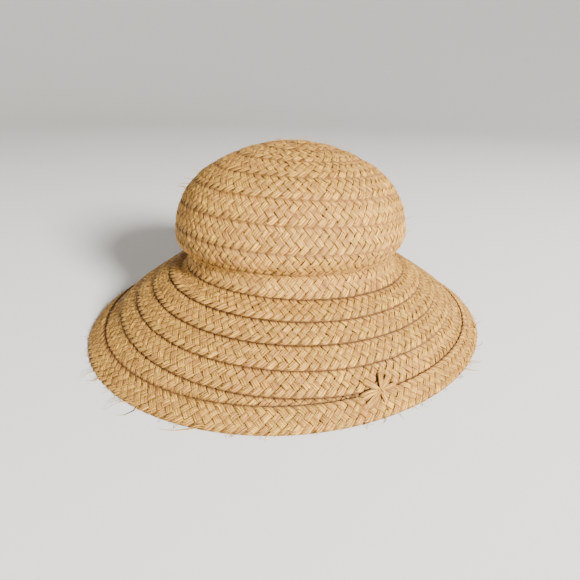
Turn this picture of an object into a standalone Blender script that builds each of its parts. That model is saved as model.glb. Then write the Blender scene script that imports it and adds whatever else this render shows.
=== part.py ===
"""Raffia hat: one flat plait wound in a spiral from the top of the crown to the rim and sewn row on row.

The model stands on its rim, +Z up, with the front at -Y. A place on the hat is given by an azimuth,
counted from the front towards +X, and by a level, counted in rows down from the neck.
"""
import math

import bmesh
import bpy
import numpy as np
from mathutils import Vector

# Sizes of the outer face, in metres
NECK_RADIUS = 0.095
CROWN_HEIGHT = 0.1065
RIM_RADIUS = 0.180
BRIM_DROP = 0.055

# The plait, in metres: the width of a row that shows, its thickness, and how far a lower edge stands out
CROWN_ROW = 0.0201
BRIM_ROW = 0.0185
EDGE_ROW = 0.0188
PLAIT_THICKNESS = 0.0022
CROWN_STEP = 0.0008
BRIM_STEP = 0.0016
LAP = 0.003
CLEARANCE = 0.0003

# The star of raffia straps on the join of the edge row, in metres
STRAP_LENGTH = 0.0175
STRAP_WIDTH = 0.005
STRAP_THICKNESS = 0.0012
KNOT_RADIUS = 0.0042
KNOT_HEIGHT = 0.0026
END_WIDTH = 0.0018  # width left of the spiral's last turn where it ends
STAR_PAST = 0.007  # from that end to the middle of the star

# The crown leans, in degrees, about the neck
LEAN_BACK = 2.3
LEAN_LEFT = 0.8

# Outline of the crown from the tip to the neck: radius as a share of NECK_RADIUS, height of CROWN_HEIGHT
CROWN_OUTLINE = (
    # radius, height
    (0.00, 1.00),
    (0.33, 0.96),
    (0.60, 0.865),
    (0.79, 0.76),
    (0.93, 0.615),
    (1.01, 0.44),
    (1.02, 0.25),
    (0.93, 0.12),
    (1.00, 0.00),
)

# Outline of the brim from the neck to the rim: way out as a share of the brim's reach, drop of BRIM_DROP
BRIM_OUTLINE = (
    # out, drop
    (0.00, 0.00),
    (0.135, 0.055),
    (0.31, 0.23),
    (0.52, 0.44),
    (0.755, 0.73),
    (1.00, 1.00),
)

# How the outlines change round the hat, each a cosine: waves in a turn, share of the size, azimuth of a peak
NECK_WAVES = ((2, 0.041, 101.0),)
RIM_WAVES = ((1, 0.040, 181.0), (2, 0.046, 129.0))
ROW_WAVES = ((1, 0.050, -116.0), (2, 0.024, 100.0))
SEAM_SWAY = 0.088  # rows by which a seam runs ahead of an even spiral on the right

# Straps of the star: direction in degrees from the row, turning up; length and width as shares
STRAPS = (
    # direction, length, width
    (3, 0.9, 0.8),
    (32, 0.95, 1.0),
    (69, 0.85, 1.0),
    (140, 0.95, 1.2),
    (180, 1.0, 1.2),
    (217, 1.1, 1.3),
    (283, 0.55, 0.9),
)
# Where a strap's outline has points, as shares of the angle from its middle line to a corner of its end
STRAP_TURNS = (-4.0, -2.2, -1.4, -1.0, 0.0, 1.0, 1.4, 2.2, 4.0)

COLUMNS = 48  # points in one turn
FINE_FROM = -3.0  # level below which the crown's rows take one more point across
START_SHARE = 0.3  # width of the first turn where it begins, at the tip, as a share of a row
STEP_GROWS = 1.5  # rows, after the first, over which a row's edge comes to stand out
LEAN_FADES = (0.8, -0.2)  # levels between which the crown takes up its lean
LAP_ROOM_SHARE = 1.25  # width of a row's raised edge as a share of the lap under it


def smooth_outline(points):
    """Radii, heights and running lengths of a smooth curve through points, with the length at each point."""
    points = np.array(points, float)
    chords = np.hypot(*np.diff(points, axis=0).T)
    knots = np.concatenate([[0.0], np.cumsum(chords)])
    slopes = np.gradient(points, knots, axis=0)
    slopes[0] = (1.0, 0.0)
    curve = [points[:1]]
    for k in range(len(points) - 1):
        t = np.linspace(0.0, 1.0, 25)[1:, None]
        span = knots[k + 1] - knots[k]
        curve.append(
            (2 * t**3 - 3 * t**2 + 1) * points[k]
            + (t**3 - 2 * t**2 + t) * span * slopes[k]
            + (3 * t**2 - 2 * t**3) * points[k + 1]
            + (t**3 - t**2) * span * slopes[k + 1]
        )
    curve = np.concatenate(curve)
    length = np.concatenate([[0.0], np.cumsum(np.hypot(*np.diff(curve, axis=0).T))])
    return curve[:, 0], curve[:, 1], length, length[::24]


def hat_outline():
    """The outline of crown and brim at the mean radii, tip to rim, and its lengths to the neck and rim."""
    crown = [(r * NECK_RADIUS, h * CROWN_HEIGHT) for r, h in CROWN_OUTLINE]
    reach = RIM_RADIUS - NECK_RADIUS
    brim = [(NECK_RADIUS + out * reach, -drop * BRIM_DROP) for out, drop in BRIM_OUTLINE[1:]]
    radii, heights, length, at_points = smooth_outline(crown + brim)
    return radii, heights, length, at_points[len(crown) - 1], length[-1]


RADII, HEIGHTS, LENGTHS, NECK_LENGTH, RIM_LENGTH = hat_outline()
RIM_SLOPE = (RADII[-1] - RADII[-2], HEIGHTS[-1] - HEIGHTS[-2]) / (LENGTHS[-1] - LENGTHS[-2])
TIP_LEVEL = -NECK_LENGTH / CROWN_ROW
TURN = 2 * math.pi


def waves(table, azimuth):
    """1 plus the cosines of a table of waves."""
    return 1.0 + sum(share * math.cos(n * (azimuth - math.radians(peak))) for n, share, peak in table)


def rim_level(azimuth):
    """The level of the rim, in rows from the neck."""
    return (RIM_LENGTH - NECK_LENGTH) / BRIM_ROW * waves(ROW_WAVES, azimuth)


def edge_level(azimuth):
    """The level of the upper edge of the edge row."""
    return rim_level(azimuth) - EDGE_ROW / BRIM_ROW


def seam_level(angle):
    """The level of the spiral's upper edge. The angle goes on counting from turn to turn."""
    return angle / TURN + SEAM_SWAY * math.sin(angle)


def smooth_step(x):
    """0 to 1 with level ends."""
    x = min(max(x, 0.0), 1.0)
    return x * x * (3.0 - 2.0 * x)


def base_point(level, azimuth):
    """The middle face of the rows at a level and azimuth, before it is centred."""
    neck = NECK_RADIUS * waves(NECK_WAVES, azimuth)
    if level <= 0.0:
        length = NECK_LENGTH + level * CROWN_ROW
        radius = np.interp(length, LENGTHS, RADII) / NECK_RADIUS * neck
    else:
        length = NECK_LENGTH + (RIM_LENGTH - NECK_LENGTH) * level / rim_level(azimuth)
        out = (np.interp(length, LENGTHS, RADII) - NECK_RADIUS) / (RIM_RADIUS - NECK_RADIUS)
        radius = neck + out * (RIM_RADIUS * waves(RIM_WAVES, azimuth) - neck)
    height = np.interp(length, LENGTHS, HEIGHTS)
    past = max(length - RIM_LENGTH, 0.0)
    radius += past * RIM_SLOPE[0]
    height += past * RIM_SLOPE[1]
    x, y = radius * math.sin(azimuth), -radius * math.cos(azimuth)
    share = smooth_step((LEAN_FADES[0] - level) / (LEAN_FADES[0] - LEAN_FADES[1]))
    left, back = math.radians(LEAN_LEFT) * share, math.radians(LEAN_BACK) * share
    x, height = x * math.cos(left) - height * math.sin(left), height * math.cos(left) + x * math.sin(left)
    y, height = y * math.cos(back) + height * math.sin(back), height * math.cos(back) - y * math.sin(back)
    return Vector((x, y, height + BRIM_DROP))


def surface_frame(level, azimuth):
    """A point of the middle face and its outward normal."""
    small = 0.02
    level = max(level, TIP_LEVEL)
    down = base_point(level + small, azimuth) - base_point(max(level - small, TIP_LEVEL), azimuth)
    if level - TIP_LEVEL < small:
        return base_point(TIP_LEVEL, azimuth), tip_normal()
    along = base_point(level, azimuth + small) - base_point(level, azimuth - small)
    return base_point(level, azimuth), down.cross(along).normalized()


def tip_normal():
    """The crown's own axis, which leans."""
    return Vector((-math.sin(math.radians(LEAN_LEFT)), math.sin(math.radians(LEAN_BACK)), 1.0)).normalized()


def raised(level, azimuth, height):
    """A point that stands a height off the middle face of the rows."""
    point, normal = surface_frame(level, azimuth)
    return point + normal * height


def column_angle(column):
    """The spiral's angle at a column. The front is at column 0 of the turn that meets the neck there."""
    return TURN * column / COLUMNS


def row_low(level):
    """Height of a row's upper edge off the middle face."""
    if level > 0.0:
        return -BRIM_STEP / 2
    return -CROWN_STEP / 2 * tip_growth(level)


UNDER_LAP = row_low(1.0)  # height of the outer face of what a raised edge covers
OVER_LAP = UNDER_LAP + CLEARANCE + PLAIT_THICKNESS  # height of the outer face of that raised edge


def wall_between(name, columns, rows_across, place, thickness=PLAIT_THICKNESS):
    """A wall over a grid of columns by rows_across, welded where its turns meet.

    place(column, row) gives a point's level, azimuth and height, and the rows by which the inner face
    keeps back from it. The inner face is the outer one extruded, one thickness lower.
    """
    first, last = columns
    bm = bmesh.new()
    bmesh.ops.create_grid(bm, x_segments=last - first, y_segments=rows_across - 1, size=1.0)
    inner_x, inner_y, inner_z = (bm.verts.layers.float.new(axis) for axis in "xyz")
    for vert in bm.verts:
        column = first + round((vert.co.x + 1.0) / 2.0 * (last - first))
        row = round((vert.co.y + 1.0) / 2.0 * (rows_across - 1))
        level, azimuth, height, back = place(column, row)
        vert.co = raised(level, azimuth, height)
        inner = raised(level - back, azimuth, height - thickness)
        vert[inner_x], vert[inner_y], vert[inner_z] = inner
    bmesh.ops.remove_doubles(bm, verts=bm.verts, dist=0.00001)
    grown = bmesh.ops.extrude_face_region(bm, geom=bm.faces[:], use_keep_orig=True)
    for vert in grown["geom"]:
        if isinstance(vert, bmesh.types.BMVert):
            vert.co = (vert[inner_x], vert[inner_y], vert[inner_z])
    return as_object(bm, name)


def as_object(bm, name):
    """An object of the faces in bm, shaded smooth, with its faces pointing out."""
    bmesh.ops.recalc_face_normals(bm, faces=bm.faces)
    mesh = bpy.data.meshes.new(name)
    bm.to_mesh(mesh)
    bm.free()
    mesh.shade_smooth()
    mesh.set_sharp_from_angle(angle=math.radians(35))
    return bpy.data.objects.new(name, mesh)


def tip_growth(level):
    """From 0 at the tip to 1 where the rows' edges stand out in full."""
    return smooth_step((level - TIP_LEVEL - 1.0) / STEP_GROWS)


def crown_columns():
    """First and last column of the crown: from the tip to the back of the neck."""
    first = round((TIP_LEVEL - 2.0) * COLUMNS)
    while seam_level(column_angle(first)) + 1.0 < TIP_LEVEL + START_SHARE:
        first += 1
    return first, -COLUMNS // 2


def crown_place(column, row):
    """A crown row runs from its upper edge to the lower one, then steps down to the next row's upper edge."""
    angle = column_angle(column)
    seam = seam_level(angle)
    top = TIP_LEVEL if seam < TIP_LEVEL + START_SHARE else seam
    bottom = seam + 1.0
    free = column + COLUMNS > crown_columns()[1]
    high = OVER_LAP if free else -row_low(bottom)
    low_next = high if free else row_low(bottom)
    back = 0.0 if free else PLAIT_THICKNESS / CROWN_ROW * tip_growth(bottom)
    bend = bottom - LAP_ROOM_SHARE * LAP / CROWN_ROW if free else (top + 2 * bottom) / 3
    fine = bottom > FINE_FROM
    upper, lower = ((2 * top + bend) / 3, bend) if fine else ((top + bottom) / 2,) * 2
    if column == crown_columns()[0]:
        upper = lower = top
    slope = (high - row_low(top)) / (bend - top if free else bottom - top)
    return (
        (top, angle, row_low(top), PLAIT_THICKNESS / CROWN_ROW * tip_growth(top)),
        (upper, angle, row_low(top) + slope * (upper - top), back / 2),
        (lower, angle, row_low(top) + slope * (lower - top), back),
        (bottom, angle, high, back),
        (bottom, angle, low_next, back),
    )[row]


def make_crown():
    """The crown: the rows from the tip to the neck, whose last turn laps over the brim."""
    return wall_between("crown", crown_columns(), 5, crown_place)


def brim_end():
    """The column where the spiral's last turn has narrowed out above the edge row."""
    column = crown_columns()[1]
    while seam_level(column_angle(column)) < edge_level(column_angle(column)) - END_WIDTH / BRIM_ROW:
        column += 1
    return column


def brim_place(column, row):
    """A brim row. The first turn reaches up under the crown, and the last one down under the edge row."""
    start, end = crown_columns()[1], brim_end()
    azimuth = column_angle(column)
    butt = CLEARANCE / NECK_RADIUS if column in (start, start + COLUMNS) else 0.0
    butt_below = butt if column == start else 0.0
    seam = seam_level(azimuth)
    first_turn, last_turn = column < start + COLUMNS, column > end - COLUMNS
    low = row_low(1.0)
    top = seam - lap_at(column - start) if first_turn else seam
    bottom = edge_level(azimuth) + LAP / BRIM_ROW if last_turn else seam + 1.0
    high = low + BRIM_STEP * min(max((end - COLUMNS - column) / 2, 0.0), 1.0)
    back = PLAIT_THICKNESS / BRIM_ROW
    back_above = 0.0 if first_turn or column == end else back
    back_below = 0.0 if last_turn or column == end - COLUMNS else back
    return (
        (top, azimuth + butt, low, back_above),
        (max(top, seam), azimuth + butt, low, back_above),
        (seam + (bottom - seam) / 3, azimuth + butt_below, (2 * low + high) / 3, back_below / 3),
        (seam + (bottom - seam) * 2 / 3, azimuth + butt_below, (low + 2 * high) / 3, back_below),
        (bottom, azimuth + butt_below, high, back_below),
        (bottom, azimuth + butt_below, low, back_below),
    )[row]


def lap_at(column):
    """Rows that the brim's upper edge reaches under the crown: none at the ends, where the plait goes on."""
    if column in (0, 1):
        return -CLEARANCE / CROWN_ROW
    return LAP / CROWN_ROW


def make_brim():
    """The brim: the spiral's rows from the back of the neck to the star."""
    return wall_between("brim", (crown_columns()[1], brim_end()), 6, brim_place)


def edge_place(column, row):
    """The edge row lies over the brim's last turn and reaches past the plane that the hat stands on."""
    azimuth = column_angle(column)
    top, rim = edge_level(azimuth), rim_level(azimuth)
    bend = top + LAP_ROOM_SHARE * LAP / BRIM_ROW
    past = rim + PLAIT_THICKNESS / BRIM_ROW
    return (
        (top, azimuth, OVER_LAP, 0.0),
        (bend, azimuth, OVER_LAP, 0.0),
        ((bend + rim) / 2, azimuth, OVER_LAP / 2, 0.0),
        (past, azimuth, 0.0, 0.0),
    )[row]


def make_edge_row():
    """The edge row: a ring of plait, cut level where it stands."""
    edge_row = wall_between("edge_row", (0, COLUMNS), 4, edge_place)
    cut = edge_row.modifiers.new("level rim", "BOOLEAN")
    cut.operation = "DIFFERENCE"
    cut.solver = "EXACT"
    cut.object = make_floor_cutter()
    return edge_row


def make_floor_cutter():
    """A box under the plane on which the rim stands."""
    side, depth = 3 * RIM_RADIUS, RIM_RADIUS / 2
    bpy.ops.mesh.primitive_cube_add(size=1.0, location=(0.0, 0.0, -depth / 2))
    cutter = bpy.context.active_object
    cutter.name = "floor_cutter"
    cutter.data.transform(((side, 0, 0, 0), (0, side, 0, 0), (0, 0, depth, 0), (0, 0, 0, 1)))
    return cutter


def star_point(way, up, height):
    """Level, azimuth and height of a point of the star, from metres along the row and metres up the surface."""
    radius = RIM_RADIUS - EDGE_ROW
    azimuth = column_angle(brim_end() % COLUMNS) + (STAR_PAST + way) / radius
    return edge_level(azimuth) - up / BRIM_ROW, azimuth, height


def star_seat(up):
    """Height of what the star lies on: the edge row's raised edge, and less up on the brim and down at the rim."""
    places = (-EDGE_ROW, -LAP_ROOM_SHARE * LAP, KNOT_RADIUS, STRAP_LENGTH)
    heights = (0.0, OVER_LAP, OVER_LAP, BRIM_STEP / 2)
    return float(np.interp(up, places, heights)) + CLEARANCE


def star_directions():
    """The directions in which the star's outline has points: the middle, corners and sides of each strap."""
    directions = [0.0]
    for turn, length, width in STRAPS:
        corner = math.atan2(width * STRAP_WIDTH / 2, length * STRAP_LENGTH)
        directions += [(math.radians(turn) + share * corner) % TURN for share in STRAP_TURNS]
    directions.sort()
    nearest = math.radians(1.5)
    return [a for a, b in zip(directions, [*directions[1:], TURN]) if b - a > nearest]


def star_reach(direction):
    """How far the star reaches in a direction: to the end or side of the strap that goes furthest there."""
    reach = KNOT_RADIUS
    for turn, length, width in STRAPS:
        off = direction - math.radians(turn)
        to_side = width * STRAP_WIDTH / 2 / max(abs(math.sin(off)), 0.001)
        if math.cos(off) > 0.0:
            reach = max(reach, min(length * STRAP_LENGTH / math.cos(off), to_side))
    return reach


def make_star(knot):
    """The flat star of straps, fused with the knot at its middle."""
    directions = star_directions()

    def place(column, row):
        direction = directions[column % len(directions)]
        out = star_reach(direction) * (0.0, 0.35, 0.7, 1.0)[row]
        up = out * math.sin(direction)
        return (*star_point(out * math.cos(direction), up, star_seat(up) + STRAP_THICKNESS), 0.0)

    star = wall_between("star", (0, len(directions)), 4, place, STRAP_THICKNESS)
    join = star.modifiers.new("knot", "BOOLEAN")
    join.operation = "UNION"
    join.solver = "EXACT"
    join.object = knot
    return star


def make_knot():
    """The knot: a low dome on the star's middle."""
    bpy.ops.mesh.primitive_uv_sphere_add(segments=12, ring_count=6, radius=1.0)
    knot = bpy.context.active_object
    knot.name = "knot"
    for vert in knot.data.vertices:
        height = star_seat(KNOT_RADIUS) + (vert.co.z + 1.0) / 2 * KNOT_HEIGHT
        vert.co = raised(*star_point(vert.co.x * KNOT_RADIUS, vert.co.y * KNOT_RADIUS, height))
    return knot


def rim_centre():
    """The middle of the box round the rim, in plan."""
    rim = []
    for column in range(COLUMNS):
        above, below = (raised(*edge_place(column, row)[:3]) for row in (2, 3))
        rim.append(below.lerp(above, -below.z / (above.z - below.z)))
    xs, ys = [p.x for p in rim], [p.y for p in rim]
    return Vector(((min(xs) + max(xs)) / 2, (min(ys) + max(ys)) / 2, 0.0))


def material(name, colour, roughness):
    """A plain Principled material of a linear colour."""
    made = bpy.data.materials.new(name)
    made.use_nodes = True
    shader = made.node_tree.nodes["Principled BSDF"]
    shader.inputs["Base Color"].default_value = (*colour, 1.0)
    shader.inputs["Roughness"].default_value = roughness
    shader.inputs["Metallic"].default_value = 0.0
    made.diffuse_color = (*colour, 1.0)
    return made


def new_collection(name):
    """A collection in the scene."""
    made = bpy.data.collections.new(name)
    bpy.context.scene.collection.children.link(made)
    return made


def put(ob, collection, parent=None):
    """Moves an object to a collection and, if given, under a parent."""
    for old in list(ob.users_collection):
        old.objects.unlink(ob)
    collection.objects.link(ob)
    ob.parent = parent


def hide_tool(ob):
    """Marks an object that only cuts or joins."""
    ob.hide_render = True
    ob.display_type = "WIRE"


def build():
    """Makes the hat."""
    for ob in list(bpy.data.objects):
        bpy.data.objects.remove(ob)
    hat = new_collection("raffia_hat")
    tools = new_collection("cutters")
    centre = bpy.data.objects.new("hat_centre", None)
    centre.location = -rim_centre()
    put(centre, hat)
    knot = make_knot()
    pieces = (
        (make_crown(), material("crown_raffia", (0.60, 0.40, 0.19), 0.62)),
        (make_brim(), material("brim_raffia", (0.66, 0.46, 0.24), 0.62)),
        (make_edge_row(), material("edge_raffia", (0.64, 0.43, 0.21), 0.6)),
        (make_star(knot), material("star_raffia", (0.70, 0.50, 0.27), 0.55)),
    )
    for ob, look in pieces:
        ob.data.materials.append(look)
        put(ob, hat, centre)
    put(knot, tools, centre)
    put(bpy.data.objects["floor_cutter"], tools)
    for tool in tools.objects:
        hide_tool(tool)


build()
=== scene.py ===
"""Looks of the raffia hat: its plait strand by strand, star of straps, loose fibres, floor, light and camera.

The plait is wound as in the solids. A place on the hat is given by an azimuth, counted from the front (-Y)
towards +X, and by a level, counted in rows down from the neck. Strands are ribbons woven over and under.
"""

import math

import bpy
import numpy as np
from mathutils import Euler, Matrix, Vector


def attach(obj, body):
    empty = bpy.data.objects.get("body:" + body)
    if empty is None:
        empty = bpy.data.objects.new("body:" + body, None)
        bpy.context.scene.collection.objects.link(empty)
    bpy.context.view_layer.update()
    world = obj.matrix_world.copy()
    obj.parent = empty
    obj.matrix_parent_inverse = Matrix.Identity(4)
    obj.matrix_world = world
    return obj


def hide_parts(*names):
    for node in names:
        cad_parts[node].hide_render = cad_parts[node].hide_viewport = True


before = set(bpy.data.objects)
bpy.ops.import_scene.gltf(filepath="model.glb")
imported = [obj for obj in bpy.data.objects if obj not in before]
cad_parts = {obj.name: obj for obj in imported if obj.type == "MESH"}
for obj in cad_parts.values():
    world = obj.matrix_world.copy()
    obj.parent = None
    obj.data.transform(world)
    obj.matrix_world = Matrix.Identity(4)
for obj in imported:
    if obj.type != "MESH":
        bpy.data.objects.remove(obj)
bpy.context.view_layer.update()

TURN = 2 * math.pi

# Sizes of the hat in metres, as in the solids
NECK_RADIUS = 0.095
CROWN_HEIGHT = 0.1065
RIM_RADIUS = 0.180
BRIM_DROP = 0.055
CROWN_ROW = 0.0201
BRIM_ROW = 0.0185
EDGE_ROW = 0.0188
LEAN_BACK = 2.3  # degrees
LEAN_LEFT = 0.8
LEAN_FADES = (0.8, -0.2)  # levels between which the lean comes in
CENTRE = Vector((0.0006, 0.0070, 0.0))  # middle of the rim, from the neck's middle

CROWN_OUTLINE = (
    # radius as a share of the neck's, height as a share of the crown's
    (0.00, 1.00),
    (0.33, 0.96),
    (0.60, 0.865),
    (0.79, 0.76),
    (0.93, 0.615),
    (1.01, 0.44),
    (1.02, 0.25),
    (0.93, 0.12),
    (1.00, 0.00),
)
BRIM_OUTLINE = (
    # way out as a share of the brim's reach, drop as a share of the brim's
    (0.00, 0.00),
    (0.135, 0.055),
    (0.31, 0.23),
    (0.52, 0.44),
    (0.755, 0.73),
    (1.00, 1.00),
)
OUTLINE_STEPS = 24  # steps of the smooth curve between two points
# Cosines round the hat: waves in a turn, share of the size, azimuth of a peak in degrees
NECK_WAVES = ((2, 0.041, 101.0),)
RIM_WAVES = ((1, 0.040, 181.0), (2, 0.046, 129.0))
ROW_WAVES = ((1, 0.050, -116.0), (2, 0.024, 100.0))
SEAM_SWAY = 0.088
NORMAL_STEP = 0.03  # rows and radians to each side that the face's normal is read from

# The plait
STRANDS = 5
CELL = 0.0069  # metres along the row from one strand to the next
STRAND_WIDTH = 0.0052
STRAND_THICKNESS = 0.0011
WEAVE_HEIGHT = 0.0005  # how far a strand rises and dips from the middle of the plait
SAMPLES_PER_CELL = 3
SPIRAL_SEED = 5
EDGE_SEED = 977
SEED_STEP = 100  # from one strand's seed to the next
NOISE_STEP = 7.31  # keeps the noise of one tube apart from the next one's
STRAND_TAKE = 1.45  # length of strand to a length of plait
RUN_STEP = math.radians(0.5)  # between the places that a run's length is summed over
RUN_SPARE = 0.1  # radians that a run goes on past its last place
PAST_TIP = 0.9  # rows past the tip where the spiral begins
OFF_TIP = 0.35  # rows off the tip that the length of the innermost row is measured at
PLAIT_FADES = (-1.2, 0.2)  # levels between which the crown's plait changes to the brim's
SEARCH_TURNS = 8
SEARCH_STEP = 0.01
FOLD_SHARPNESS = 0.94
FOLD_REACH = 0.9  # half cells on each side of a fold where the strand spreads
FOLD_WIDENING = 0.12
CREASE = 0.985  # where the folds are creased flat, as a share of half the plait's width
CREASE_CUT = 0.26  # share of a strand's width that its middle stays inside the plait's edge
TURN_ROOM = 0.9  # share of the turning circle that a strand's inner side may fill
FURROW_DEPTH = 0.75  # as a share of half the strand's thickness
FURROW_SHARE = 0.75  # how deep a furrow runs on average
BULGE = 0.0004  # how far the middle of a row stands out
BRIM_LAP = 0.0028  # how far a row reaches under the one before it
CROWN_LAP = 0.0026
BRIM_RAISE = 0.0009  # how far a row's edges stand off the middle face, the upper one below it
CROWN_RAISE = 0.0002
EDGE_RAISE = 0.0006
EDGE_FOOT = 0.0006
EDGE_OVER = 0.02  # rows that the edge row reaches past the rim's line
EDGE_ROOM = 0.0002  # added to the edge row's width for its strands
MOST_UNDER = 0.5  # rows that the last turn reaches under the edge row at most
TUCK = 1.67  # how far the last turn dips under the edge row, as a share of BRIM_RAISE
TUCK_IN = 0.12  # radians along which the last turn changes to dipping
NARROW = 0.9  # rows of width below which the plait gets thinner
THINNEST = 0.3
FLOOR_GAP = 0.0002
# Shade painted into the colour beside seams and along creases
SEAM_SHADE = 0.0011  # metres of a row painted with shade beside the row sewn over it
SHADE_CORE = 0.15  # share of its width over which a seam's shade is full
CREASE_SHARPNESS = 3.0  # how much narrower the shade is along a row's own lower edge
CREASE_FADE = 0.25
CROWN_SHADE = 0.56  # how dark the crown's painted seam shade is beside the brim's
EDGE_SHADE = 0.9
EDGE_SHARPNESS = 2.2

SECTION = (
    # place across the strand from -1 to 1, height in half thicknesses, and share of a furrow, cut on top and
    # painted as shade
    (-1.00, 0.00, 0.9),
    (-0.70, 0.95, 0.0),
    (-0.38, 0.90, 1.0),
    (-0.05, 1.05, 0.0),
    (0.30, 0.92, 1.0),
    (0.66, 0.95, 0.0),
    (1.00, 0.00, 0.9),
    (0.45, -0.85, 0.4),
    (-0.45, -0.85, 0.4),
)
STRAYS = {
    # what strays along a strand: number added to the strand's seed, amount, and metres to a turn. The amount
    # is in metres for along and tilt, and a share for the others
    "width": (1, 0.09, 0.05),
    "fine_width": (2, 0.08, 0.010),
    "across": (3, 0.022, 0.012),
    "along": (4, 0.0006, 0.02),
    "rise": (5, 0.25, 0.01),
    "tilt": (6, 0.00028, 0.006),
    "furrow": (7, 0.6, 0.008),
    "crease": (8, 0.045, 0.006),
    "light": (11, 0.55, 0.05),
    "fine_light": (12, 0.65, 0.009),
    "hue": (13, 0.6, 0.07),
    "fine_hue": (14, 0.6, 0.012),
    "ridge": (30, 0.10, 0.02),
}

# The star of straps where the spiral ends
STAR_AZIMUTH = 25.0
END_WIDTH = 0.0010  # width of the spiral's last turn where it ends, past its lap
STRAPS = (
    # direction in degrees from the row, turning up; then length, width and lift in millimetres
    (3, 17.5, 4.2, 0.5),
    (30, 16.5, 5.0, 0.8),
    (69, 15.0, 4.8, 1.4),
    (139, 17.0, 6.0, 1.1),
    (181, 18.5, 6.5, 0.7),
    (217, 19.5, 6.2, 1.0),
    (280, 10.5, 4.6, 0.7),
)
WRAPS = (
    # strands round the star's middle, in millimetres: place and slant along the row, half length, width
    # and lift
    (1.4, 1.2, 3.5, 3.0, 1.6),
    (-1.0, -0.4, 3.0, 2.4, 1.3),
)
STAR_SEAT = (
    # metres up from the seam, and height of the straps' bed there
    (-EDGE_ROW, 0.0008),
    (-0.004, 0.0015),
    (0.003, 0.0018),
    (0.016, 0.0012),
)
STRAP_HALF = 0.0006  # half the thickness of a strap
STRAP_RIDGES = 3.0  # half waves from the middle of a strap to its edge
STRAP_BASE = 0.0004  # how far every strap stands off its bed
STRAP_CURVE = 0.10  # radians by which a strap bends at most
STRAP_SEED = 5000
STRAP_OVER = 0.8  # how far straps lie over the plait, which keeps painted dip shade off them
STRAP_CALM = 0.6  # how much of a strand's change of tone straps show
STRAP_DIP = 0.0042  # how far a strap's end goes down into the plait
STRAP_STEPS = 22
WRAP_STEPS = 16
WRAP_DIP = 0.0022

# Loose ends of fibre that show in the photograph
RIM_ENDS = (
    # azimuth of the root in degrees; then right, out, up and bend in millimetres
    (-52, -5.0, 8.0, 0.2, 2.5),
    (-51, -2.0, 9.0, 0.4, -2.0),
    (-50, 3.0, 8.0, 0.2, 1.5),
    (-36, -13.0, 9.0, 0.3, 3.0),
    (-35, -4.0, 12.0, 0.4, -3.5),
    (-37, -12.0, 3.0, 1.2, 2.0),
    (-18, -27.0, 3.0, 0.5, -2.0),
    (-17, -12.0, 5.0, 0.8, 2.5),
    (-7, 2.5, 3.0, 0.3, 1.2),
    (-3, -4.5, 7.5, 0.3, 1.0),
    (-2, -2.0, 3.5, 0.5, -1.0),
    (0, 3.5, 4.0, 0.3, -1.8),
    (1, -2.5, 4.5, 0.3, 1.8),
    (6, 1.5, 5.0, 0.3, -1.0),
    (18, 2.0, 4.5, 0.5, 0.8),
    (32, 2.5, 5.0, 0.4, 0.8),
    (59, 6.0, 6.0, 5.0, -1.0),
    (60, 9.0, 4.0, 4.0, 2.0),
    (57, 7.0, 7.0, 1.0, 2.0),
    (69, 2.0, 4.0, 9.0, 3.0),
    (80, 3.0, 2.0, 11.0, -3.0),
    (97, 4.0, 0.0, 6.0, 1.5),
)
CROWN_ENDS = (
    # azimuth and level of the root; then right, out and up in millimetres, and bend
    (61, -8.3, 0.5, 0.0, 5.0, 0.6),
    (-23, -7.9, -8.0, 0.0, 3.0, 2.5),
    (-15, -8.0, -6.0, 1.0, 1.8, 1.2),
    (78, -7.0, 9.0, 0.0, 3.0, 2.0),
    (75, -7.3, 7.0, 0.0, 3.5, -1.5),
    (70, -2.3, 9.0, 0.0, -1.5, 1.5),
    (72, -2.6, 8.0, 0.0, 4.0, 1.0),
    (-75, -3.7, -7.0, 0.0, 5.0, 1.5),
    (-73, -3.5, -4.0, 0.0, 6.0, -1.5),
    (-76, -3.8, -8.0, 0.0, 1.0, 1.5),
    (-78, -4.3, -9.0, 0.0, 3.0, -2.0),
    (-79, -4.5, -6.0, 0.0, 4.5, 2.0),
    (-77, -4.0, -10.0, 0.0, 0.0, 1.0),
    (30, -8.2, 4.0, 0.0, 4.5, 1.0),
    (48, -8.1, 7.0, 0.0, 4.0, -1.0),
    (-40, -8.0, -3.0, 0.0, 4.0, -1.0),
)
END_RADIUS = 0.00055
END_ROOT = 0.0006  # height of a loose end's root off the plait's middle
END_INSIDE = 0.12  # rows that the roots at the rim lie inside it
END_STEPS = 9
END_WOBBLE = 0.0003
FUZZ = 820  # short ends of fibre strewn over the hat
FUZZ_RADIUS = 0.00021
FUZZ_ROOT = 0.0008
FUZZ_SEED = 41
FUZZ_AT_RIM = 0.35  # share of them that stand at the rim
FUZZ_RIM_BAND = 0.15  # rows from the rim inwards
FUZZ_OFF_TIP = 0.6
FUZZ_LENGTHS = (0.0025, 0.0075)
FUZZ_SLOPES = (0.05, 0.7)
FUZZ_BENDS = (-0.3, 0.3)
FUZZ_SIZES = (0.6, 1.5)
FIBRE_TAPER = 0.75
FIBRE_FLOOR = 0.0001

# Colours of raffia, linear
PALE = (1.0, 0.58, 0.070)
DEEP = (0.42, 0.195, 0.038)
GREENISH = (0.67, 0.44, 0.065)
PINKISH = (0.98, 0.50, 0.095)
# dark brown of streaks and flecks, and of shade painted in furrows and seams
STREAK_AND_SHADE = (0.26, 0.110, 0.027)
# painted shade at strands' edges, where they dip under and beside seams
GAP_SHADE = (0.085, 0.036, 0.008)
NOISES = {
    # stretch along, across and from strand to strand, and detail
    "lines": ((60.0, 11.0, 1.0), 4.0),
    "fine": ((110.0, 30.0, 1.0), 2.0),
    "blotch": ((160.0, 2.0, 1.0), 2.0),
    "flecks": ((230.0, 13.0, 1.0), 1.0),
}
HAIRLINES = 30.0  # radians of hairline waves across a strand
HAIRLINE_BEND = 9.0
SPECULAR = 0.24
SHEEN = 0.01
BUMP_STRENGTH = 0.9
BUMP_HEIGHT = 0.0008

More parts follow.
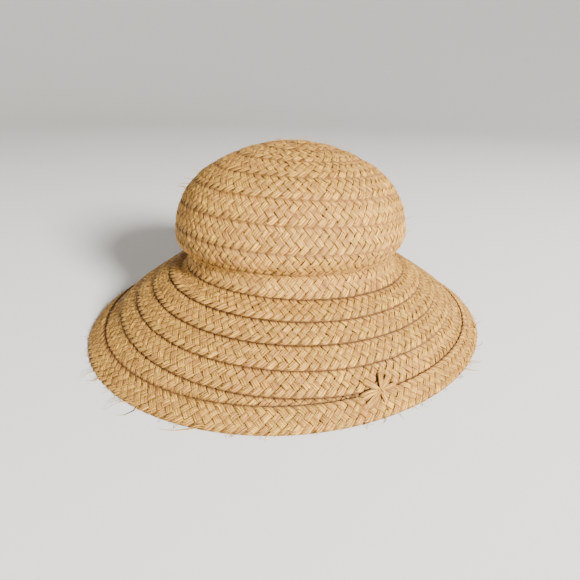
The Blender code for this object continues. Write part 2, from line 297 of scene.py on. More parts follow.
# The floor, in metres, and the lamps
FLOOR_COLOUR = (0.74, 0.73, 0.71)
FLOOR_ROUGHNESS = 0.9
FLOOR_RINGS = (0.0, 0.5, 1.2)
FLOOR_FLAT = 2.3
FLOOR_BEND = 3.4
WALL_TOP = 5.0
FLOOR_SIDES = 96
BEND_STEPS = 12
LAMPS = (
    # name, place, diameter, power and colour
    ("key", (1.9, -2.2, 1.30), 0.80, 515.0, (1.0, 0.97, 0.93)),
    ("fill", (-2.2, -1.1, 0.40), 0.7, 16.0, (1.0, 0.98, 0.95)),
    ("top", (0.3, 0.6, 3.0), 1.6, 8.0, (1.0, 0.99, 0.97)),
)
LAMP_TARGET = (0.0, 0.0, 0.07)
ROOM_COLOUR = (1.0, 0.98, 0.95)
ROOM_STRENGTH = 0.18

# The camera, fitted to seams, rim and silhouette of the photograph
CAMERA_DISTANCE = 0.4133  # metres from the middle of the neck
CAMERA_RISE = 21.03  # degrees above the horizontal, seen from the neck
CAMERA_PITCH = 24.93  # degrees by which it looks down
CAMERA_ROLL = 1.39
FOCAL_PIXELS = 436.0
FRAME_PIXELS = 580.0
SENSOR_WIDTH = 36.0
CLIP_START = 0.01


def smooth_outline(points):
    """Radii, heights and running lengths of a smooth curve through points, with the length at each point."""
    points = np.array(points, float)
    chords = np.hypot(*np.diff(points, axis=0).T)
    knots = np.concatenate([[0.0], np.cumsum(chords)])
    slopes = np.gradient(points, knots, axis=0)
    slopes[0] = (1.0, 0.0)
    curve = [points[:1]]
    for k in range(len(points) - 1):
        t = np.linspace(0.0, 1.0, OUTLINE_STEPS + 1)[1:, None]
        span = knots[k + 1] - knots[k]
        curve.append(
            (2 * t**3 - 3 * t**2 + 1) * points[k]
            + (t**3 - 2 * t**2 + t) * span * slopes[k]
            + (3 * t**2 - 2 * t**3) * points[k + 1]
            + (t**3 - t**2) * span * slopes[k + 1]
        )
    curve = np.concatenate(curve)
    length = np.concatenate([[0.0], np.cumsum(np.hypot(*np.diff(curve, axis=0).T))])
    return curve[:, 0], curve[:, 1], length, length[::OUTLINE_STEPS]


def hat_outline():
    """The outline of crown and brim at the mean radii, tip to rim, and its lengths to the neck and rim."""
    crown = [(r * NECK_RADIUS, h * CROWN_HEIGHT) for r, h in CROWN_OUTLINE]
    reach = RIM_RADIUS - NECK_RADIUS
    brim = [(NECK_RADIUS + out * reach, -drop * BRIM_DROP) for out, drop in BRIM_OUTLINE[1:]]
    radii, heights, length, at_points = smooth_outline(crown + brim)
    return radii, heights, length, at_points[len(crown) - 1], length[-1]


RADII, HEIGHTS, LENGTHS, NECK_LENGTH, RIM_LENGTH = hat_outline()
TIP_LEVEL = -NECK_LENGTH / CROWN_ROW


def waves(table, azimuth):
    """1 plus the cosines of a table of waves."""
    return 1.0 + sum(share * np.cos(n * (azimuth - math.radians(peak))) for n, share, peak in table)


def rim_level(azimuth):
    """The level of the rim, in rows from the neck."""
    return (RIM_LENGTH - NECK_LENGTH) / BRIM_ROW * waves(ROW_WAVES, azimuth)


def edge_level(azimuth):
    """The level of the upper edge of the edge row."""
    return rim_level(azimuth) - EDGE_ROW / BRIM_ROW


def seam_level(angle):
    """The level of the spiral's upper edge. The angle goes on counting from turn to turn."""
    return angle / TURN + SEAM_SWAY * np.sin(angle)


def smooth_step(x):
    """0 to 1 with level ends."""
    x = np.clip(x, 0.0, 1.0)
    return x * x * (3.0 - 2.0 * x)


def base_point(level, azimuth):
    """The middle face of the rows, as an array of points."""
    neck = NECK_RADIUS * waves(NECK_WAVES, azimuth)
    level = np.maximum(level, TIP_LEVEL)
    rim = rim_level(azimuth)
    crown_length = NECK_LENGTH + level * CROWN_ROW
    brim_length = NECK_LENGTH + (RIM_LENGTH - NECK_LENGTH) * level / rim
    length = np.where(level <= 0.0, crown_length, brim_length)
    mean_radius = np.interp(length, LENGTHS, RADII)
    out = (mean_radius - NECK_RADIUS) / (RIM_RADIUS - NECK_RADIUS)
    brim_radius = neck + out * (RIM_RADIUS * waves(RIM_WAVES, azimuth) - neck)
    radius = np.where(level <= 0.0, mean_radius / NECK_RADIUS * neck, brim_radius)
    height = np.interp(length, LENGTHS, HEIGHTS)
    x, y = radius * np.sin(azimuth), -radius * np.cos(azimuth)
    share = smooth_step((LEAN_FADES[0] - level) / (LEAN_FADES[0] - LEAN_FADES[1]))
    left, back = math.radians(LEAN_LEFT) * share, math.radians(LEAN_BACK) * share
    x, height = x * np.cos(left) - height * np.sin(left), height * np.cos(left) + x * np.sin(left)
    y, height = y * np.cos(back) + height * np.sin(back), height * np.cos(back) - y * np.sin(back)
    return np.stack([x - CENTRE.x, y - CENTRE.y, height + BRIM_DROP], axis=-1)


def surface(level, azimuth, height):
    """Points that stand a height off the middle face of the rows."""
    step = NORMAL_STEP
    level = np.maximum(level, TIP_LEVEL + step)
    inside = np.minimum(level, rim_level(azimuth) - step)
    down = base_point(inside + step, azimuth) - base_point(inside - step, azimuth)
    along = base_point(inside, azimuth + step) - base_point(inside, azimuth - step)
    normal = np.cross(down, along)
    normal /= np.linalg.norm(normal, axis=-1, keepdims=True)
    return base_point(level, azimuth) + normal * np.asarray(height)[..., None]


def wander(x, seed, span):
    """A smooth wandering number from -1 to 1 along x, which turns about once a span."""
    rng = np.random.default_rng(seed)
    steps = np.asarray(x) / span
    first = math.floor(float(np.min(steps))) - 1
    values = rng.uniform(-1.0, 1.0, int(math.ceil(float(np.max(steps)))) - first + 3)
    cell = np.floor(steps).astype(int)
    share = smooth_step(steps - cell)
    return values[cell - first] * (1.0 - share) + values[cell - first + 1] * share


def stray(kind, x, seed):
    """How far something about a strand strays at places x along it."""
    step, amount, span = STRAYS[kind]
    return amount * wander(x, seed + step, span)


class Run:
    """A length of plait: where its edges lie, as levels and heights at an angle along it."""

    def __init__(self, start, end, edges, heights, mean_width, shade):
        self.edges = edges
        self.heights = heights
        self.shade = shade
        self.width = mean_width
        self.angles = np.arange(start, end, RUN_STEP)
        top, bottom = edges(self.angles)
        middle = base_point(np.maximum((top + bottom) / 2, TIP_LEVEL + OFF_TIP), self.angles)
        steps = np.linalg.norm(np.diff(middle, axis=0), axis=1)
        self.lengths = np.concatenate([[0.0], np.cumsum(steps)])

    def angle_at(self, length):
        """The angle at a length along the plait."""
        return np.interp(length, self.lengths, self.angles)

    def length_at(self, angle):
        """The length along the plait at an angle."""
        return float(np.interp(angle, self.angles, self.lengths))

    def place(self, length, across, height):
        """Points of the plait and how far they lie in a seam's painted shade.

        The place is metres along, -1 to 1 from the upper to the lower edge, and metres off the middle.
        """
        angle = self.angle_at(length)
        top, bottom = self.edges(angle)
        upper, lower = self.heights(angle)
        share = (across + 1.0) / 2
        level = top + (bottom - top) * share
        rise = upper + (lower - upper) * smooth_step(share) + BULGE * (1.0 - across**2)
        flat = np.clip((bottom - top) / NARROW, THINNEST, 1.0)
        return surface(level, angle, rise + flat * height), self.shade(level, angle)


def brim_share(level):
    """0 on the crown and 1 on the brim, for what changes between them."""
    first, last = PLAIT_FADES
    return smooth_step((level - first) / (last - first))


def find_end():
    """The spiral's angle where its upper edge meets the edge row."""
    angles = np.arange(0.0, TURN * SEARCH_TURNS, SEARCH_STEP)
    return float(angles[np.argmax(seam_level(angles) > edge_level(angles) - END_WIDTH / BRIM_ROW)])


END_ANGLE = find_end()


def spiral_edges(angle):
    """Levels of the plait's upper and lower edge. The last turn goes under the edge row."""
    seam = seam_level(angle)
    share = brim_share(seam)
    lap = CROWN_LAP / CROWN_ROW * (1 - share) + BRIM_LAP / BRIM_ROW * share
    edge = edge_level(angle)
    last = smooth_step((angle - (END_ANGLE - TURN)) / TUCK_IN)
    tucked = edge + np.clip(seam + 1.0 - edge + BRIM_LAP / BRIM_ROW, BRIM_LAP / BRIM_ROW, MOST_UNDER)
    bottom = (seam + 1.0) * (1 - last) + tucked * last
    return seam - lap, bottom


def spiral_heights(angle):
    """Heights of the plait's upper and lower edge off the middle face."""
    share = brim_share(seam_level(angle) + 0.5)
    raised = CROWN_RAISE * (1 - share) + BRIM_RAISE * share
    last = smooth_step((angle - (END_ANGLE - TURN) + TUCK_IN / 2) / TUCK_IN)
    return -raised, raised * (1 - TUCK * last)


def spiral_shade(level, angle):
    """How much shade is painted: 1 where the plait dips under the turn before it or under the edge row,
    fading to 0 beside them.

    The crease along its own lower edge is nearly as dark. On the crown all of it is fainter.
    """
    width = SEAM_SHADE / BRIM_ROW
    above = (level - seam_level(angle)) / width
    below = (edge_level(angle) - level) / width
    crease = CREASE_SHARPNESS * (seam_level(angle) + 1.0 - level) / width + CREASE_FADE
    shade = 1.0 - smooth_step(np.minimum(np.minimum(above, below), crease) - SHADE_CORE)
    return shade * (CROWN_SHADE + (1.0 - CROWN_SHADE) * brim_share(level))


def edge_edges(angle):
    """Levels of the edge row's upper and lower edge."""
    return edge_level(angle), rim_level(angle) + EDGE_OVER


def edge_heights(angle):
    """The edge row's upper edge lies on the brim's last turn, and its lower one stands on the floor."""
    return EDGE_RAISE + 0.0 * angle, EDGE_FOOT + 0.0 * angle


def edge_shade(level, angle):
    """Painted shade: 1 in the crease along the edge row's upper edge, which lies on the brim."""
    width = SEAM_SHADE / BRIM_ROW
    return EDGE_SHADE * (1.0 - smooth_step(EDGE_SHARPNESS * (level - edge_level(angle)) / width))


def zigzag(share):
    """Way across a pass, from -1 to 1, with the turns at the ends rounded."""
    return np.arcsin(FOLD_SHARPNESS * np.sin(math.pi * (share - 0.5))) / math.asin(FOLD_SHARPNESS)


def weave(u):
    """Over and under along a pass of STRANDS cells: 1 over, -1 under, and midway at the folds."""
    inner = np.cos(math.pi * (u - 1.0))
    start = -np.cos(math.pi * (u + 1.0) / 2)
    end = -np.cos(math.pi * (u - (STRANDS - 1)) / 2)
    return np.where(u < 1.0, start, np.where(u > STRANDS - 1, end, inner))


class Strand:
    """One strand of a run between two lengths of it: its middle line, width, weave and tilt."""

    def __init__(self, run, first, last, number, cell, seed):
        self.run = run
        self.seed = seed
        self.half = run.width / 2
        step = cell / 2 / SAMPLES_PER_CELL
        x = np.arange(first, last + step, step)
        cells = (x - number * cell) / (cell / 2)
        passes = np.floor(cells / STRANDS)
        u = cells - passes * STRANDS
        way = np.where(passes % 2 == 0, 1.0, -1.0)
        fold = 1.0 - smooth_step(np.minimum(u, STRANDS - u) / FOLD_REACH)
        width = STRAND_WIDTH * (1.0 + stray("width", x, seed) + stray("fine_width", x, seed))
        reach = 1.0 - CREASE_CUT * width / self.half
        self.width = width * (1.0 + FOLD_WIDENING * fold)
        self.y = (way * zigzag(u / STRANDS) * reach + stray("across", x, seed)) * self.half
        self.x = x + stray("along", x, seed)
        self.over = weave(u)
        self.rise = WEAVE_HEIGHT * self.over * (1.0 + stray("rise", self.x, seed))
        self.tilt = stray("tilt", self.x, seed)
        self.crease = CREASE + stray("crease", self.x, seed)
        self.find_turning()

    def find_turning(self):
        """The middle line's tangent, how fast it turns, and the room on the inner side of the turn."""
        dx, dy = np.gradient(self.x), np.gradient(self.y)
        speed = np.hypot(dx, dy)
        self.tangent = np.stack([dx / speed, dy / speed], axis=-1)
        self.turning = np.gradient(np.unwrap(np.arctan2(dy, dx))) / speed
        self.room = TURN_ROOM / np.maximum(np.abs(self.turning), 1e-6)

    def side_line(self, c):
        """Metres along and across the plait, of the line at c across the strand, from -1 to 1."""
        ridge = stray("ridge", self.x, self.seed + round(10 * c)) * (abs(c) < 1)
        side = (c + ridge) * self.width / 2
        inner = self.turning * side > 0
        side = np.where(inner, np.clip(side, -self.room, self.room), side)
        return self.x - self.tangent[:, 1] * side, self.y + self.tangent[:, 0] * side

    def line(self, c, lift, furrow):
        """Points and marks of the line at c across the strand, a share of its thickness off its middle."""
        strayed = FURROW_SHARE + stray("furrow", self.x, self.seed + round(10 * c))
        depth = np.clip(strayed, 0.0, 1.0) * furrow
        x, y = self.side_line(c)
        lifted = lift - FURROW_DEPTH * depth * (lift > 0.1)
        z = self.rise + self.tilt * c + lifted * STRAND_THICKNESS / 2
        points, shade = self.run.place(x, np.clip(y / self.half, -self.crease, self.crease), z)
        # Seam shade is painted on the upper faces only, and goes into the furrow mark above 1
        shade = shade * (lift >= 0.0)
        return points, np.stack([np.full_like(x, (c + 1.0) / 2), np.maximum(depth, 2.0 * shade)], axis=-1)

    def rings(self):
        """Rings of points round the strand, with their marks.

        The marks are the place across the strand, 0 to 1, and the depth of a furrow, 0 to 1, or of a seam's
        shade, 0 to 2, which the colour paints as shade.
        """
        lines = [self.line(*place) for place in SECTION]
        rings = np.stack([points for points, marks in lines], axis=1)
        rings[..., 2] = np.maximum(rings[..., 2], FLOOR_GAP)
        return rings, np.stack([marks for points, marks in lines], axis=1)


def tube_faces(start, count, sides):
    """Faces between neighbouring rings, whose points are numbered from start."""
    grid = start + np.arange(count * sides).reshape(count, sides)
    a, b = grid[:-1], grid[1:]
    return np.stack([a, np.roll(a, -1, 1), np.roll(b, -1, 1), b], axis=-1).reshape(-1, 4)


def tube_mesh(name, parts):
    """One mesh of tubes. Each part is (rings, marks, along, tones), with the points of each ring in order."""
    points, faces, places, tones, furrows = [], [], [], [], []
    start = 0
    for rings, marks, along, tone in parts:
        count, sides = rings.shape[:2]
        faces.append(tube_faces(start, count, sides))
        points.append(rings.reshape(-1, 3))
        along = np.repeat(along[:, None], sides, axis=1)
        seed = np.full_like(along, len(points) * NOISE_STEP)
        places.append(np.stack([along, marks[..., 0], seed], axis=-1).reshape(-1, 3))
        furrows.append(marks[..., 1].ravel())
        tones.append(np.repeat(tone[:, None, :], sides, axis=1).reshape(-1, 3))
        start += count * sides
    mesh = quad_mesh(name, np.concatenate(points), np.concatenate(faces))
    # The furrow attribute holds furrow and seam marks, which the colour paints as shade
    layer = mesh.attributes.new("furrow", "FLOAT", "POINT")
    layer.data.foreach_set("value", np.concatenate(furrows).astype(np.float32))
    for label, values in (("strand", places), ("tone", tones)):
        layer = mesh.attributes.new(label, "FLOAT_VECTOR", "POINT")
        layer.data.foreach_set("vector", np.concatenate(values).astype(np.float32).ravel())
    return linked_object(name, mesh)


def quad_mesh(name, points, faces):
    """A smooth mesh of four-sided faces, from arrays."""
    mesh = bpy.data.meshes.new(name)
    mesh.vertices.add(len(points))
    mesh.vertices.foreach_set("co", points.astype(np.float32).ravel())
    mesh.loops.add(faces.size)
    mesh.loops.foreach_set("vertex_index", faces.astype(np.int32).ravel())
    mesh.polygons.add(len(faces))
    mesh.polygons.foreach_set("loop_start", np.arange(0, faces.size, 4, dtype=np.int32))
    mesh.update(calc_edges=True)
    mesh.shade_smooth()
    return mesh


def linked_object(name, data):
    """An object in the scene, of a mesh, a lamp or a camera."""
    ob = bpy.data.objects.new(name, data)
    bpy.context.scene.collection.objects.link(ob)
    return ob


def strand_tones(length, over, seed):
    """Light and hue along a strand, each about -1 to 1, and how far it lies over the others."""
    light = stray("light", length, seed) + stray("fine_light", length, seed)
    hue = stray("hue", length, seed) + stray("fine_hue", length, seed)
    return np.stack([light, hue, over], axis=-1)


def plait(name, run, first, last, cell, seed):
    """All strands of a run between two lengths, as one mesh."""
    parts = []
    for number in range(STRANDS):
        own_seed = seed + SEED_STEP * number
        strand = Strand(run, first, last, number, cell, own_seed)
        rings, marks = strand.rings()
        along = STRAND_TAKE * strand.x
        parts.append((rings, marks, along, strand_tones(along, strand.over, own_seed)))
    return tube_mesh(name, parts)


def star_surface(way, up, height):
    """Points at metres along the row to the right, up the brim and off its face, from the star's middle."""
    azimuth = math.radians(STAR_AZIMUTH) + np.asarray(way) / (RIM_RADIUS - EDGE_ROW)
    seat = np.interp(up, *zip(*STAR_SEAT))
    return surface(edge_level(azimuth) - np.asarray(up) / BRIM_ROW, azimuth, seat + height)


def strap_section(seed):
    """Places across a strap and heights there: ridged above, flat below."""
    top = np.linspace(-1.0, 1.0, 11)
    relief = 0.30 * np.cos(STRAP_RIDGES * math.pi * top + seed)
    relief += 0.15 * np.cos(2.3 * STRAP_RIDGES * top + seed)
    section = [(c, (1.0 - abs(c) ** 3) * (0.9 + r)) for c, r in zip(top, relief)]
    return section + [(0.5, -0.7), (-0.5, -0.7)]


def strap_part(path, widths, lifts, seed):
    """One flat strap, whose middle runs along a path of (way, up) in metres, as a part of a tube mesh."""
    step = np.gradient(path, axis=0)
    step /= np.linalg.norm(step, axis=1, keepdims=True)
    rings, marks = [], []
    for c, lift in strap_section(seed):
        side = c * widths / 2
        way = path[:, 0] - step[:, 1] * side
        up = path[:, 1] + step[:, 0] * side
        rings.append(star_surface(way, up, lifts + lift * STRAP_HALF))
        # Lower places on a strap's ridged top get painted shade
        furrow = min(max(2.2 * (0.95 - lift), 0.0), 1.0)
        marks.append(np.tile(((c + 1.0) / 2, furrow), (len(path), 1)))
    rings = np.stack(rings, axis=1)
    along = np.concatenate([[0.0], np.cumsum(np.linalg.norm(np.diff(rings[:, 5], axis=0), axis=1))])
    tones = strand_tones(along, np.full_like(along, STRAP_OVER), STRAP_SEED + 20 * seed)
    tones[:, :2] *= STRAP_CALM
    return rings, np.stack(marks, axis=1), along, tones


def spread_strap(number, direction, length, width, lift):
    """A strap that spreads from the star's middle in a slight curve and ends down in the plait."""
    out = np.linspace(0.0, 1.0, STRAP_STEPS)
    turn = math.radians(direction) + STRAP_CURVE * math.sin(2.1 * number) * out
    reach = length / 1000 * out
    path = np.stack([reach * np.cos(turn), reach * np.sin(turn)], axis=-1)
    narrowing = 1.0 - 0.35 * smooth_step((out - 0.75) / 0.25)
    widths = width / 1000 * (0.34 + 0.66 * smooth_step(out / 0.45)) * narrowing
    arch = lift / 1000 * np.sin(math.pi * np.minimum(out * 1.25, 1.0))
    lifts = STRAP_BASE + arch - STRAP_DIP * smooth_step((out - 0.80) / 0.2)
    return strap_part(path, widths, lifts, number)


def make_star():
    """Straps that spread from a pinched middle, and the strands wrapped round it."""
    parts = [spread_strap(number, *strap) for number, strap in enumerate(STRAPS)]
    way = np.linspace(-1.0, 1.0, WRAP_STEPS)
    for place, slant, half_length, width, lift in WRAPS:
        path = np.stack([place / 1000 + slant / 1000 * way, -half_length / 1000 * way], axis=-1)
        lifts = lift / 1000 - WRAP_DIP * way**4
        parts.append(strap_part(path, np.full(WRAP_STEPS, width / 1000), lifts, len(parts) + 1))
    return tube_mesh("star_straps", parts)


def fibre_part(points, radius, seed):
    """A thin flat fibre through points, tapered to its end, as a part of a tube mesh."""
    points = np.asarray(points, float)
    tangent = np.gradient(points, axis=0)
    tangent /= np.linalg.norm(tangent, axis=1, keepdims=True)
    side = np.cross(tangent, (0.3, 0.2, 0.93))
    side /= np.linalg.norm(side, axis=1, keepdims=True)
    other = np.cross(tangent, side)
    share = np.linspace(0.0, 1.0, len(points))[:, None]
    thick = radius * (1.0 - FIBRE_TAPER * share**2)
    ways = ((1.0, 0.0), (0.0, 0.5), (-1.0, 0.0), (0.0, -0.5))
    rings = np.stack([points + thick * (a * side + b * other) for a, b in ways], axis=1)
    rings[..., 2] = np.maximum(rings[..., 2], FIBRE_FLOOR)
    along = np.cumsum(np.full(len(points), 0.001))
    marks = np.tile(((0.3, 0.0), (0.4, 0.0), (0.6, 0.0), (0.7, 0.0)), (len(points), 1, 1))
    rng = np.random.default_rng(seed)
    tones = np.tile((rng.uniform(-0.5, 0.6), rng.uniform(-0.5, 0.5), 1.0), (len(points), 1))
    return rings, marks, along, tones


def end_path(root, offset, bend):
    """A bent path from a root to a root plus an offset."""
    share = np.linspace(0.0, 1.0, END_STEPS)[:, None]
    sideways = np.cross(offset, (0.25, -0.9, 0.35))
    sideways /= np.linalg.norm(sideways)
    bent = root + offset * share + sideways * bend * np.sin(math.pi * share)
    return bent + np.sin(5 * share) * END_WOBBLE


def seen_end(azimuth, level, right, out, up, bend, seed):
    """A loose end that shows in the photograph, rooted at an azimuth in radians and a level."""
    root = surface(level, azimuth, END_ROOT)
    offset = np.array((right + out * math.sin(azimuth), -out * math.cos(azimuth), up)) / 1000
    return fibre_part(end_path(root, offset, bend / 1000), END_RADIUS, seed)


def fuzz_part(rng, number):
    """A short end of fibre at a random place of the hat."""
    turn = rng.uniform(0.0, TURN)
    rim = rim_level(turn)
    if rng.random() < FUZZ_AT_RIM:
        level = rim - rng.uniform(0.0, FUZZ_RIM_BAND)
    else:
        level = rng.uniform(TIP_LEVEL + FUZZ_OFF_TIP, rim)
    root = surface(level, turn, FUZZ_ROOT)
    normal = surface(level, turn, FUZZ_ROOT + 0.001) - root
    normal /= np.linalg.norm(normal)
    spread = rng.normal(size=3)
    spread -= normal * (spread @ normal)
    spread /= np.linalg.norm(spread)
    length = rng.uniform(*FUZZ_LENGTHS)
    offset = (spread + normal * rng.uniform(*FUZZ_SLOPES)) * length
    path = end_path(root, offset, rng.uniform(*FUZZ_BENDS) * length)
    return fibre_part(path, FUZZ_RADIUS * rng.uniform(*FUZZ_SIZES), 100 + number)


def make_loose_ends():
    """Loose ends of fibre: those seen in the photograph, and short fuzz all over."""
    parts = []
    for azimuth, *offset_and_bend in RIM_ENDS:
        turn = math.radians(azimuth)
        parts.append(seen_end(turn, rim_level(turn) - END_INSIDE, *offset_and_bend, len(parts)))
    for azimuth, *rest in CROWN_ENDS:
        parts.append(seen_end(math.radians(azimuth), *rest, len(parts)))
    rng = np.random.default_rng(FUZZ_SEED)
    parts += [fuzz_part(rng, number) for number in range(FUZZ)]
    return tube_mesh("loose_fibres", parts)


class Graph:
    """A material's nodes and short ways to add to them. A value is a socket, a number or a linear colour."""

    def __init__(self, name):
        self.material = bpy.data.materials.new(name)
        self.material.use_nodes = True
        self.nodes = self.material.node_tree.nodes
        self.links = self.material.node_tree.links
        self.shader = self.nodes["Principled BSDF"]

    def feed(self, socket, value):
        """Gives a value to a socket."""
        if isinstance(value, (int, float)):
            socket.default_value = value
        elif isinstance(value, tuple):
            socket.default_value = (*value, 1.0)
        else:
            self.links.new(value, socket)

    def maths(self, operation, *values):
        """A Math node of one or two values."""
        node = self.nodes.new("ShaderNodeMath")
        node.operation = operation
        for socket, value in zip(node.inputs, values):
            self.feed(socket, value)
        return node.outputs[0]

    def mix(self, share, a, b, blend="MIX"):
        """A Mix node of two colours."""
        node = self.nodes.new("ShaderNodeMix")
        node.data_type = "RGBA"
        node.blend_type = blend
        for number, value in ((0, share), (6, a), (7, b)):
            self.feed(node.inputs[number], value)
        return node.outputs[2]

    def fit(self, value, from_min, from_max, to_min=0.0, to_max=1.0):
        """A Map Range node on a value."""
        node = self.nodes.new("ShaderNodeMapRange")
        self.feed(node.inputs["Value"], value)
        self.feed(node.inputs["From Min"], from_min)
        self.feed(node.inputs["From Max"], from_max)
        self.feed(node.inputs["To Min"], to_min)
        self.feed(node.inputs["To Max"], to_max)
        return node.outputs[0]

    def noise(self, vector, scale, detail):
        """Noise on a vector stretched by scale."""
        stretch = self.nodes.new("ShaderNodeMapping")
        stretch.inputs["Scale"].default_value = scale
        self.feed(stretch.inputs["Vector"], vector)
        noise = self.nodes.new("ShaderNodeTexNoise")
        noise.inputs["Scale"].default_value = 1.0
        noise.inputs["Detail"].default_value = detail
        noise.inputs["Roughness"].default_value = 0.6
        self.feed(noise.inputs["Vector"], stretch.outputs[0])
        return noise.outputs["Fac"]

    def attribute(self, name, output):
        """A mesh attribute."""
        node = self.nodes.new("ShaderNodeAttribute")
        node.attribute_name = name
        return node.outputs[output]

    def parts(self, vector):
        """The three numbers of a vector."""
        node = self.nodes.new("ShaderNodeSeparateXYZ")
        self.feed(node.inputs[0], vector)
        return node.outputs


def strand_colour(graph, light, hue, blotch):
    """The colour of a strand from its tones, with darker stretches."""
    body = graph.mix(graph.fit(light, -0.75, 0.75), DEEP, PALE)
    tint = graph.mix(graph.fit(hue, -0.8, 0.8), GREENISH, PINKISH)
    body = graph.mix(0.5, body, tint)
    return graph.mix(graph.fit(blotch, 0.35, 0.7, 0.0, 0.45), body, DEEP)


def fibre_colour(graph, body, lines, fine, blotch, flecks, furrow_and_seam_shade, across):
    """The colour with streaks, hairlines and flecks along the strand, and shade painted in furrows and seams.
    """
    drawn = graph.fit(lines, 0.38, 0.54, 0.85, 0.0)
    # Streaks drawn along the strand, plus shade painted in its modelled furrows and seams
    furrow_shade = graph.fit(furrow_and_seam_shade, 0.15, 0.9, 0.0, 0.85)
    furrow = graph.maths("MINIMUM", graph.maths("ADD", drawn, furrow_shade), 0.85)
    body = graph.mix(furrow, body, STREAK_AND_SHADE)
    body = graph.mix(1.0, body, graph.fit(fine, 0.36, 0.64, 0.55, 1.28), "MULTIPLY")
    waves_across = graph.maths("MULTIPLY", across, HAIRLINES)
    phase = graph.maths("ADD", waves_across, graph.maths("MULTIPLY", blotch, HAIRLINE_BEND))
    hairline = graph.fit(graph.maths("SINE", phase), -1.0, 1.0, 0.68, 1.12)
    body = graph.mix(1.0, body, hairline, "MULTIPLY")
    return graph.mix(graph.fit(flecks, 0.57, 0.70, 0.0, 0.75), body, STREAK_AND_SHADE)


def painted_shade_share(graph, across, over, furrow_and_seam_shade):
    """How much shade is painted on a place: at a strand's edges, where it dips, and in a seam."""
    middle = graph.maths("ABSOLUTE", graph.maths("SUBTRACT", across, 0.5))
    edge = graph.fit(middle, 0.32, 0.5, 0.0, 0.85)
    dip_shade = graph.fit(over, 0.45, -0.8, 0.0, 0.85)
    seam = graph.fit(furrow_and_seam_shade, 1.0, 1.5, 0.0, 0.93)
    return graph.maths("MAXIMUM", seam, graph.maths("MAXIMUM", edge, dip_shade))


def raffia_material(name):
    """Dry raffia: strands that differ in tone, fine lines along them, shade painted where they dip, nearly
    matt.
    """
    graph = Graph(name)
    strand = graph.attribute("strand", "Vector")
    furrow_and_seam_shade = graph.attribute("furrow", "Fac")
    light, hue, over = graph.parts(graph.attribute("tone", "Vector"))
    across = graph.parts(strand)[1]
    lines, fine, blotch, flecks = (graph.noise(strand, *noise) for noise in NOISES.values())
    body = strand_colour(graph, light, hue, blotch)
    body = fibre_colour(graph, body, lines, fine, blotch, flecks, furrow_and_seam_shade, across)
    # Shade painted at the strands' edges, where they dip under, and beside seams
    colour = graph.mix(painted_shade_share(graph, across, over, furrow_and_seam_shade), body, GAP_SHADE)
    shader = graph.shader
    graph.feed(shader.inputs["Base Color"], colour)
    graph.feed(shader.inputs["Roughness"], graph.fit(lines, 0.3, 0.7, 0.66, 0.42))
    shader.inputs["Specular IOR Level"].default_value = SPECULAR
    shader.inputs["Sheen Weight"].default_value = SHEEN
    bump = graph.nodes.new("ShaderNodeBump")
    bump.inputs["Strength"].default_value = BUMP_STRENGTH
    bump.inputs["Distance"].default_value = BUMP_HEIGHT
    graph.feed(bump.inputs["Height"], graph.maths("ADD", lines, graph.maths("MULTIPLY", fine, 0.5)))
    graph.feed(shader.inputs["Normal"], bump.outputs[0])
    return graph.material


def floor_mesh():
    """A round floor that bends up into a wall all round."""
    turn = np.linspace(0.0, math.pi / 2, BEND_STEPS)
    radii = [*FLOOR_RINGS, *(FLOOR_FLAT + FLOOR_BEND * np.sin(turn)), FLOOR_FLAT + FLOOR_BEND]
    heights = [*(0.0 for _ in FLOOR_RINGS), *(FLOOR_BEND - FLOOR_BEND * np.cos(turn)), WALL_TOP]
    around = np.arange(FLOOR_SIDES) * TURN / FLOOR_SIDES
    points = [(r * math.cos(a), r * math.sin(a), z) for r, z in zip(radii, heights) for a in around]
    faces = []
    for ring in range(len(radii) - 1):
        for k in range(FLOOR_SIDES):
            a, b = ring * FLOOR_SIDES + k, ring * FLOOR_SIDES + (k + 1) % FLOOR_SIDES
            over_a, over_b = a + FLOOR_SIDES, b + FLOOR_SIDES
            faces.append((a, b, over_b, over_a) if ring else (a, over_b, over_a))
    mesh = bpy.data.meshes.new("floor")
    mesh.from_pydata(points, [], faces)
    mesh.shade_smooth()
    return mesh


def add_floor():
    """A plain pale floor."""
    floor = linked_object("floor", floor_mesh())
    graph = Graph("floor_paper")
    graph.feed(graph.shader.inputs["Base Color"], FLOOR_COLOUR)
    graph.feed(graph.shader.inputs["Roughness"], FLOOR_ROUGHNESS)
    floor.data.materials.append(graph.material)


def add_camera():
    """The camera at the photograph's viewing angle."""
    data = bpy.data.cameras.new("camera")
    data.sensor_width = SENSOR_WIDTH
    data.lens = SENSOR_WIDTH * FOCAL_PIXELS / FRAME_PIXELS
    data.clip_start = CLIP_START
    camera = linked_object("camera", data)
    rise = math.radians(CAMERA_RISE)
    camera.location = (
        -CENTRE.x,
        -CENTRE.y - CAMERA_DISTANCE * math.cos(rise),
        BRIM_DROP + CAMERA_DISTANCE * math.sin(rise),
    )
    look = Euler((math.radians(90.0 - CAMERA_PITCH), 0.0, 0.0)).to_matrix()
    roll = Euler((0.0, 0.0, math.radians(CAMERA_ROLL))).to_matrix()
    camera.rotation_euler = (look @ roll).to_euler()
    bpy.context.scene.camera = camera


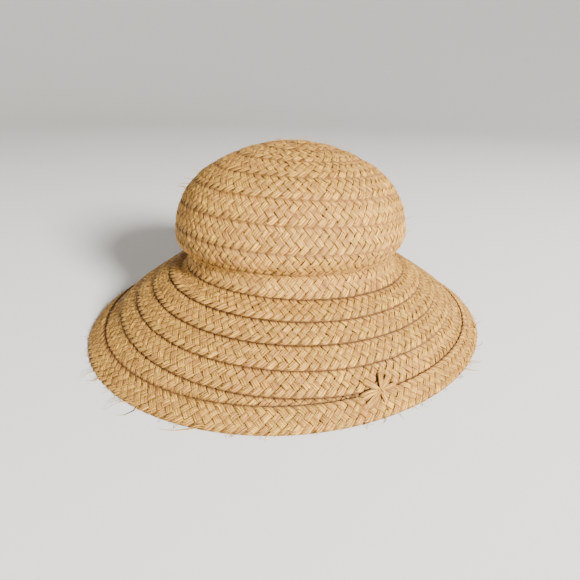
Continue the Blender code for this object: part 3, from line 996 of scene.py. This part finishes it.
def add_lamp(name, place, diameter, power, colour):
    """A soft round lamp aimed at the hat."""
    lamp = bpy.data.lights.new(name, "AREA")
    lamp.shape = "DISK"
    lamp.size = diameter
    lamp.energy = power
    lamp.color = colour
    ob = linked_object(name, lamp)
    ob.location = place
    ob.rotation_euler = (Vector(LAMP_TARGET) - Vector(place)).to_track_quat("-Z", "Y").to_euler()


def add_light():
    """Soft studio light from the front right, with an even fill."""
    for lamp in LAMPS:
        add_lamp(*lamp)
    world = bpy.data.worlds.new("studio")
    world.use_nodes = True
    background = world.node_tree.nodes["Background"]
    background.inputs["Color"].default_value = (*ROOM_COLOUR, 1.0)
    background.inputs["Strength"].default_value = ROOM_STRENGTH
    bpy.context.scene.world = world


def finish_piece(ob, material, nodes):
    """Gives a piece its material, ties it to the root and hides the solids that it stands for."""
    ob.data.materials.append(material)
    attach(ob, "root")
    if nodes:
        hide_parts(*nodes)


def make_spiral(raffia):
    """The plait of crown and brim, in four pieces."""
    start = TURN * (TIP_LEVEL - PAST_TIP)
    width = BRIM_ROW + BRIM_LAP
    spiral = Run(start, END_ANGLE + RUN_SPARE, spiral_edges, spiral_heights, width, spiral_shade)
    neck = spiral.length_at(-math.pi)
    end = spiral.length_at(END_ANGLE)
    cuts = (
        ("crown_plait_upper", 0.0, neck / 2, "crown"),
        ("crown_plait_lower", neck / 2, neck, "crown"),
        ("brim_plait_upper", neck, (neck + end) / 2, "brim"),
        ("brim_plait_lower", (neck + end) / 2, end, "brim"),
    )
    for name, first, last, node in cuts:
        finish_piece(plait(name, spiral, first, last, CELL, SPIRAL_SEED), raffia, [node])


def make_edge(raffia):
    """The edge row, a ring of plait that begins and ends under the star."""
    join = math.radians(STAR_AZIMUTH)
    width = EDGE_ROW + EDGE_ROOM
    ring = Run(join, join + TURN + RUN_SPARE, edge_edges, edge_heights, width, edge_shade)
    length = ring.length_at(join + TURN)
    cells = round(length / CELL / STRANDS) * STRANDS
    edge = plait("edge_plait", ring, 0.0, length, length / cells, EDGE_SEED)
    finish_piece(edge, raffia, ["edge_row"])


def make_hat():
    """Every piece of the hat."""
    raffia = raffia_material("raffia")
    make_spiral(raffia)
    make_edge(raffia)
    finish_piece(make_star(), raffia, ["star"])
    finish_piece(make_loose_ends(), raffia, [])


add_camera()
add_light()
add_floor()
make_hat()
